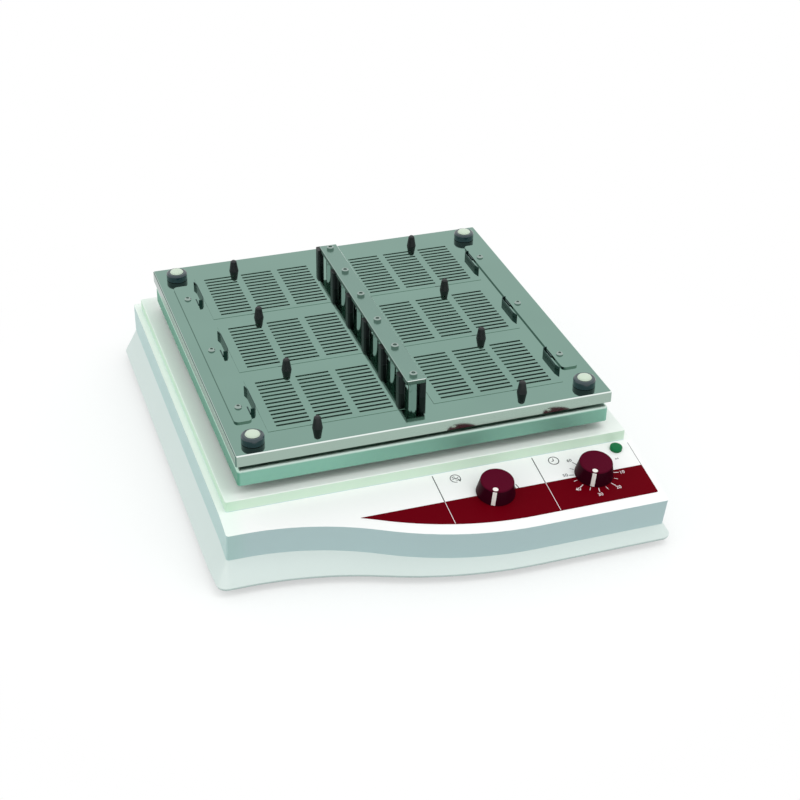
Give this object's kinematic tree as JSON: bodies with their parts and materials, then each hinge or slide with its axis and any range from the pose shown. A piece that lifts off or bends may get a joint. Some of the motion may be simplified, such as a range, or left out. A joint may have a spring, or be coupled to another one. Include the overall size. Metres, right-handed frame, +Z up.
{
  "type": "orbital microplate shaker",
  "caption": "Low bench shaker: S-fronted two-part housing with two dials, and a belt-driven orbiting platform with a slotted mirror tray, nests, spring clips and thumb nuts.",
  "frame": {"origin": "middle of the overall footprint, on the bench under the rubber feet", "axes": "+X to the right seen from the control side, +Y towards the back, +Z up"},
  "size_m": [0.403, 0.4684, 0.137],
  "materials": {
    "shell_plastic": "fine satin moulding",
    "tub_plastic": "fine satin moulding",
    "black_rubber": "smooth",
    "screw_steel": "plain",
    "bright_screw": "polished",
    "chassis_aluminium": "mill",
    "cast_aluminium": "machined casting",
    "pulley_aluminium": "machined",
    "bearing_steel": "ground",
    "shaft_steel": "ground",
    "spring_steel": "rolled strip",
    "counterweight_iron": "painted",
    "belt_rubber": "matt",
    "motor_paint": "satin",
    "part_metal": "plain",
    "board_green": "coated board",
    "black_plastic": "smooth",
    "red_foil": "smooth film",
    "green_lens": "clear tinted",
    "knob_plastic": "smooth",
    "cream_cap": "smooth",
    "platform_steel": "satin, fine grain",
    "tray_mirror_steel": "mirror polished",
    "beam_steel": "bright satin",
    "post_chrome": "polished"
  },
  "bodies": {
    "base": {"upper_shell": "shell_plastic", "lower_tub": "tub_plastic", "rubber_feet": "black_rubber", "housing_screws": "screw_steel", "chassis_plate": "chassis_aluminium", "chassis_screws": "screw_steel", "control_foil": "red_foil", "indicator_lens": "green_lens", "lamp_holder": "black_plastic", "speed_potentiometer": "part_metal", "timer_module": "black_plastic", "control_board": "board_green", "mains_inlet": "black_plastic", "motor": "motor_paint", "motor_bracket": "chassis_aluminium", "drive_belt": "belt_rubber", "drive_bearing_housing": "cast_aluminium", "drive_bearings": "bearing_steel", "idler_columns": "cast_aluminium", "idler_bearings": "bearing_steel"},
    "drive_crank": {"drive_shaft": "shaft_steel", "drive_pulley": "pulley_aluminium", "counterweight": "counterweight_iron"},
    "motor_rotor": {"motor_pulley": "pulley_aluminium"},
    "idler_front_left": {"idler_crank_front_left": "shaft_steel"},
    "idler_front_right": {"idler_crank_front_right": "shaft_steel"},
    "idler_back_left": {"idler_crank_back_left": "shaft_steel"},
    "idler_back_right": {"idler_crank_back_right": "shaft_steel"},
    "orbiting_platform": {"platform": "platform_steel", "platform_hub": "cast_aluminium", "platform_cups": "cast_aluminium", "platform_bearings": "bearing_steel", "platform_studs": "shaft_steel", "tray": "tray_mirror_steel", "left_rail": "tray_mirror_steel", "right_rail": "tray_mirror_steel", "rail_screws": "bright_screw", "centre_beam": "beam_steel", "beam_posts": "post_chrome", "beam_screws": "bright_screw", "beam_bumpers": "black_rubber", "locating_pegs": "black_rubber"},
    "spring_clip_left_front": {"clip_left_front": "spring_steel"},
    "spring_clip_left_middle": {"clip_left_middle": "spring_steel"},
    "spring_clip_left_back": {"clip_left_back": "spring_steel"},
    "spring_clip_right_front": {"clip_right_front": "spring_steel"},
    "spring_clip_right_middle": {"clip_right_middle": "spring_steel"},
    "spring_clip_right_back": {"clip_right_back": "spring_steel"},
    "thumb_nut_front_left": {"nut_front_left": "black_plastic", "nut_cap_front_left": "cream_cap"},
    "thumb_nut_front_right": {"nut_front_right": "black_plastic", "nut_cap_front_right": "cream_cap"},
    "thumb_nut_back_left": {"nut_back_left": "black_plastic", "nut_cap_back_left": "cream_cap"},
    "thumb_nut_back_right": {"nut_back_right": "black_plastic", "nut_cap_back_right": "cream_cap"},
    "speed_dial": {"speed_knob": "knob_plastic", "speed_spindle": "shaft_steel"},
    "timer_dial": {"timer_knob": "knob_plastic", "timer_spindle": "shaft_steel"}
  },
  "joints": [
    {"name": "drive_spin", "type": "hinge", "parent": "base", "child": "drive_crank", "pos_m": [0, 0.02373, 0.03], "axis": [0, 0, 1], "continuous": true},
    {"name": "platform_orbit", "type": "hinge", "parent": "drive_crank", "child": "orbiting_platform", "pos_m": [-0.0015, 0.02373, 0.0875], "axis": [0, 0, 1], "continuous": true},
    {"name": "motor_spin", "type": "hinge", "parent": "base", "child": "motor_rotor", "pos_m": [-0.05846, -0.08483, 0.05], "axis": [0, 0, 1], "continuous": true},
    {"name": "idler_spin_front_left", "type": "hinge", "parent": "base", "child": "idler_front_left", "pos_m": [-0.125, -0.09627, 0.05], "axis": [0, 0, 1], "continuous": true},
    {"name": "idler_spin_front_right", "type": "hinge", "parent": "base", "child": "idler_front_right", "pos_m": [0.125, -0.09627, 0.05], "axis": [0, 0, 1], "continuous": true},
    {"name": "idler_spin_back_left", "type": "hinge", "parent": "base", "child": "idler_back_left", "pos_m": [-0.125, 0.14373, 0.05], "axis": [0, 0, 1], "continuous": true},
    {"name": "idler_spin_back_right", "type": "hinge", "parent": "base", "child": "idler_back_right", "pos_m": [0.125, 0.14373, 0.05], "axis": [0, 0, 1], "continuous": true},
    {"name": "clip_flex_left_front", "type": "hinge", "parent": "orbiting_platform", "child": "spring_clip_left_front", "pos_m": [-0.152, -0.07727, 0.1135], "axis": [0, 0, 1], "range_deg": [0, 7], "stiffness_Nm_per_rad": 0.4, "springref_deg": -3.44},
    {"name": "clip_flex_left_middle", "type": "hinge", "parent": "orbiting_platform", "child": "spring_clip_left_middle", "pos_m": [-0.152, 0.02373, 0.1135], "axis": [0, 0, 1], "range_deg": [0, 7], "stiffness_Nm_per_rad": 0.4, "springref_deg": -3.44},
    {"name": "clip_flex_left_back", "type": "hinge", "parent": "orbiting_platform", "child": "spring_clip_left_back", "pos_m": [-0.152, 0.12473, 0.1135], "axis": [0, 0, 1], "range_deg": [0, 7], "stiffness_Nm_per_rad": 0.4, "springref_deg": -3.44},
    {"name": "clip_flex_right_front", "type": "hinge", "parent": "orbiting_platform", "child": "spring_clip_right_front", "pos_m": [0.149, -0.07727, 0.1135], "axis": [0, 0, 1], "range_deg": [0, 7], "stiffness_Nm_per_rad": 0.4, "springref_deg": -3.44},
    {"name": "clip_flex_right_middle", "type": "hinge", "parent": "orbiting_platform", "child": "spring_clip_right_middle", "pos_m": [0.149, 0.02373, 0.1135], "axis": [0, 0, 1], "range_deg": [0, 7], "stiffness_Nm_per_rad": 0.4, "springref_deg": -3.44},
    {"name": "clip_flex_right_back", "type": "hinge", "parent": "orbiting_platform", "child": "spring_clip_right_back", "pos_m": [0.149, 0.12473, 0.1135], "axis": [0, 0, 1], "range_deg": [0, 7], "stiffness_Nm_per_rad": 0.4, "springref_deg": -3.44},
    {"name": "nut_turn_front_left", "type": "hinge", "parent": "orbiting_platform", "child": "thumb_nut_front_left", "pos_m": [-0.1525, -0.13027, 0.1133], "axis": [0, 0, 1], "continuous": true},
    {"name": "nut_turn_front_right", "type": "hinge", "parent": "orbiting_platform", "child": "thumb_nut_front_right", "pos_m": [0.1495, -0.13027, 0.1133], "axis": [0, 0, 1], "continuous": true},
    {"name": "nut_turn_back_left", "type": "hinge", "parent": "orbiting_platform", "child": "thumb_nut_back_left", "pos_m": [-0.1525, 0.17273, 0.1133], "axis": [0, 0, 1], "continuous": true},
    {"name": "nut_turn_back_right", "type": "hinge", "parent": "orbiting_platform", "child": "thumb_nut_back_right", "pos_m": [0.1495, 0.17273, 0.1133], "axis": [0, 0, 1], "continuous": true},
    {"name": "speed_turn", "type": "hinge", "parent": "base", "child": "speed_dial", "pos_m": [0.04565, -0.18657, 0.05639], "axis": [0, -0.1736, 0.9848], "range_deg": [-150, 150]},
    {"name": "timer_turn", "type": "hinge", "parent": "base", "child": "timer_dial", "pos_m": [0.13815, -0.18657, 0.05639], "axis": [0, -0.1736, 0.9848], "range_deg": [-117, 154]}
  ],
  "couplings": [
    {"joint": "platform_orbit", "follows": "drive_spin", "ratio": -1},
    {"joint": "motor_spin", "follows": "drive_spin", "ratio": 3.4277},
    {"joint": "idler_spin_front_left", "follows": "drive_spin", "ratio": 1},
    {"joint": "idler_spin_front_right", "follows": "drive_spin", "ratio": 1},
    {"joint": "idler_spin_back_left", "follows": "drive_spin", "ratio": 1},
    {"joint": "idler_spin_back_right", "follows": "drive_spin", "ratio": 1}
  ]
}
